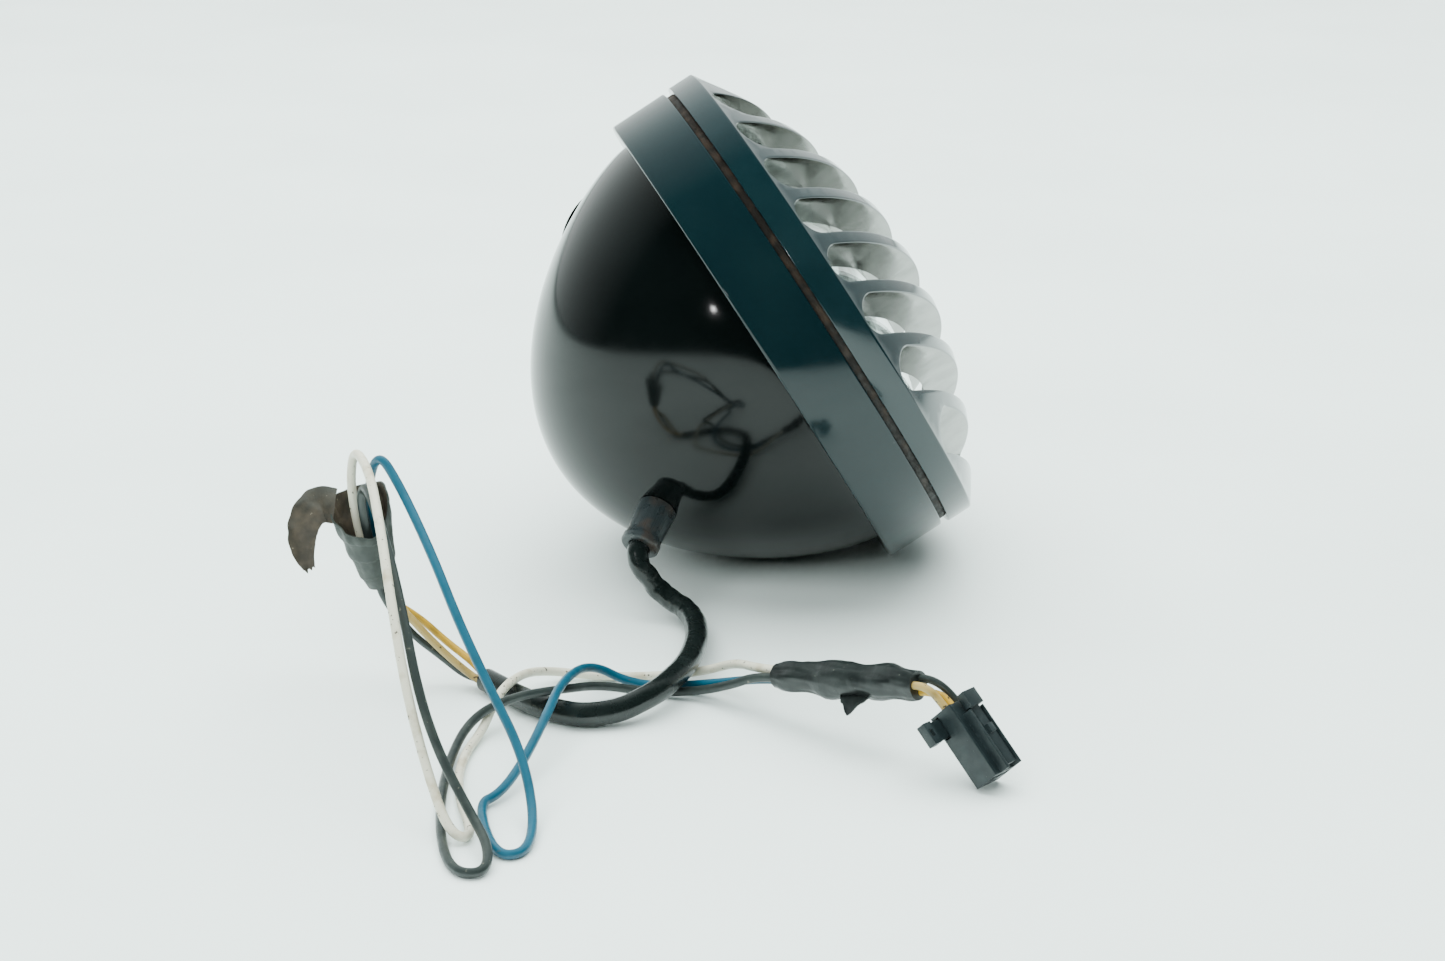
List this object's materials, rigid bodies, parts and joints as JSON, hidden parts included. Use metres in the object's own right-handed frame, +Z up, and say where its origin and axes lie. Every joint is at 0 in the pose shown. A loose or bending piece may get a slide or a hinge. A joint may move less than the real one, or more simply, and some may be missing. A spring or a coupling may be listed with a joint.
{
  "type": "motorcycle headlight",
  "caption": "Black motorcycle headlight with a domed bucket, wide rim band and a ribbed grille over its lens, trailing a taped wiring harness with a small latching connector.",
  "frame": {"origin": "on the table, at the centre of the lamp's footprint, harness left out", "axes": "+Z up; the lamp's axis points along +X and up by 31 degrees; +Y is level across the lamp, along its widest extent"},
  "size_m": [0.2214, 0.2988, 0.1556],
  "materials": {
    "bucket_enamel": "gloss black enamel on a pressed bucket",
    "screw_steel": "zinc plated",
    "bulb_metal": "plated pressing",
    "spring_steel": "drawn spring wire",
    "bulb_glass": "clear quartz",
    "black_plastic": "moulded black plastic",
    "terminal_brass": "stamped strip",
    "sleeve_pvc": "soft gloss PVC sleeving",
    "connector_plastic": "moulded dark slate plastic",
    "grommet_rubber": "satin moulded rubber",
    "grille_enamel": "gloss black casting with machined bright fin sides",
    "black_pvc": "extruded PVC insulation",
    "tan_pvc": "extruded PVC insulation",
    "yellow_pvc": "extruded PVC insulation",
    "lens_glass": "clear pressed glass",
    "gasket_rubber": "dull moulded rubber",
    "reflector_chrome": "vacuum metallised bowl",
    "ring_enamel": "satin gloss black enamel on a turned ring",
    "cloth_tape": "adhesive cloth tape",
    "wrap_tape": "adhesive vinyl tape",
    "blue_pvc": "extruded PVC insulation",
    "white_pvc": "aged extruded PVC insulation"
  },
  "bodies": {
    "lamp": {"bucket": "bucket_enamel", "bucket_screws": "screw_steel", "bulb_base": "bulb_metal", "bulb_glass": "bulb_glass", "bulb_socket": "black_plastic", "bulb_terminals": "terminal_brass", "cable_sleeve": "sleeve_pvc", "connector_housing": "connector_plastic", "connector_terminals": "terminal_brass", "cord_grommet": "grommet_rubber", "grille": "grille_enamel", "inner_sleeve": "sleeve_pvc", "lead_black": "black_pvc", "lead_tan": "tan_pvc", "lead_yellow": "yellow_pvc", "lens": "lens_glass", "lens_seal": "gasket_rubber", "mount_boss": "bucket_enamel", "pigtail_black": "black_pvc", "pigtail_tan_one": "tan_pvc", "pigtail_tan_two": "tan_pvc", "reflector": "reflector_chrome", "rim_band": "ring_enamel", "rim_screws": "screw_steel", "rim_seal": "gasket_rubber", "splice_tail": "cloth_tape", "splice_tape": "cloth_tape", "tape_wrap": "wrap_tape", "wire_black": "black_pvc", "wire_blue": "blue_pvc", "wire_white": "white_pvc"},
    "bail": {"bulb_clip": "spring_steel"},
    "latch": {"connector_latch": "connector_plastic"},
    "lock": {"connector_lock": "connector_plastic"}
  },
  "joints": [
    {"name": "bail_hinge", "type": "hinge", "parent": "lamp", "child": "bail", "pos_m": [-0.03956, 0.0149, 0.06831], "axis": [0.3108, 0.803, -0.5085], "range_deg": [0, 30]},
    {"name": "latch_press", "type": "hinge", "parent": "lamp", "child": "latch", "pos_m": [0.03197, -0.19094, 0.00852], "axis": [-0.7655, -0.6389, 0.0762], "range_deg": [0, 2], "stiffness_Nm_per_rad": 0.05},
    {"name": "lock_slide", "type": "slide", "parent": "lamp", "child": "lock", "axis": [0.7655, 0.6389, -0.0762], "range_m": [0, 0.003]}
  ]
}
